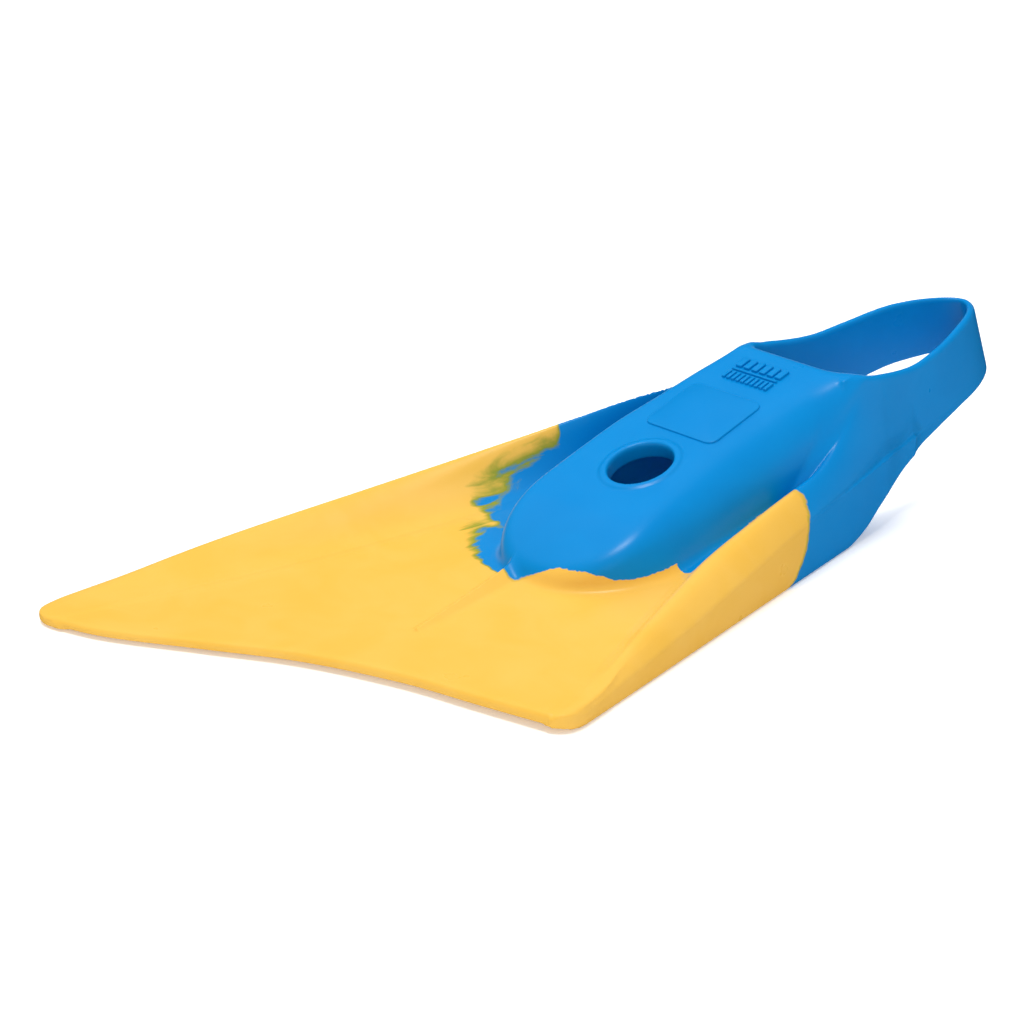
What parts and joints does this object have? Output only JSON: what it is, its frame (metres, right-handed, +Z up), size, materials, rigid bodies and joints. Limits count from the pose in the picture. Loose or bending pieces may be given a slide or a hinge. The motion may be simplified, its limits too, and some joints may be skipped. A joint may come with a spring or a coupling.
{
  "type": "swim fin",
  "caption": "Short rubber bodyboarding fin for the left foot, sole up, with a tapered blade between side rails, an open-heel foot pocket and a heel strap.",
  "frame": {"origin": "middle of the whole fin's footprint, on the surface that it lies on, sole up", "axes": "+X towards the short rail, +Y from the blade towards the heel, +Z up out of the sole"},
  "size_m": [0.2154, 0.408, 0.071],
  "materials": {
    "blue_rubber": "satin",
    "yellow_rubber": "satin"
  },
  "bodies": {
    "foot_pocket": {"blade_root": "yellow_rubber", "long_rail_rear": "blue_rubber", "short_rail_rear": "blue_rubber", "toe_cap": "blue_rubber", "sole_panel": "blue_rubber", "drain_collar": "blue_rubber", "label_pad": "blue_rubber", "size_mark": "blue_rubber", "pocket_wall_long": "blue_rubber", "pocket_wall_short": "blue_rubber", "instep_cover": "blue_rubber", "strap_root_long": "blue_rubber", "strap_root_short": "blue_rubber"},
    "blade": {"blade_web": "yellow_rubber", "centre_rib": "yellow_rubber", "long_rail_front": "yellow_rubber", "short_rail_front": "yellow_rubber"},
    "strap": {"heel_strap": "blue_rubber"}
  },
  "joints": [
    {"name": "blade_flex", "type": "hinge", "parent": "foot_pocket", "child": "blade", "pos_m": [0.02248, -0.06451, 0.01], "axis": [1, 0, 0], "range_deg": [-25, 25], "stiffness_Nm_per_rad": 15},
    {"name": "strap_flex", "type": "hinge", "parent": "foot_pocket", "child": "strap", "pos_m": [0.02998, 0.09749, 0.04], "axis": [1, 0, 0], "range_deg": [-30, 20], "stiffness_Nm_per_rad": 2}
  ]
}
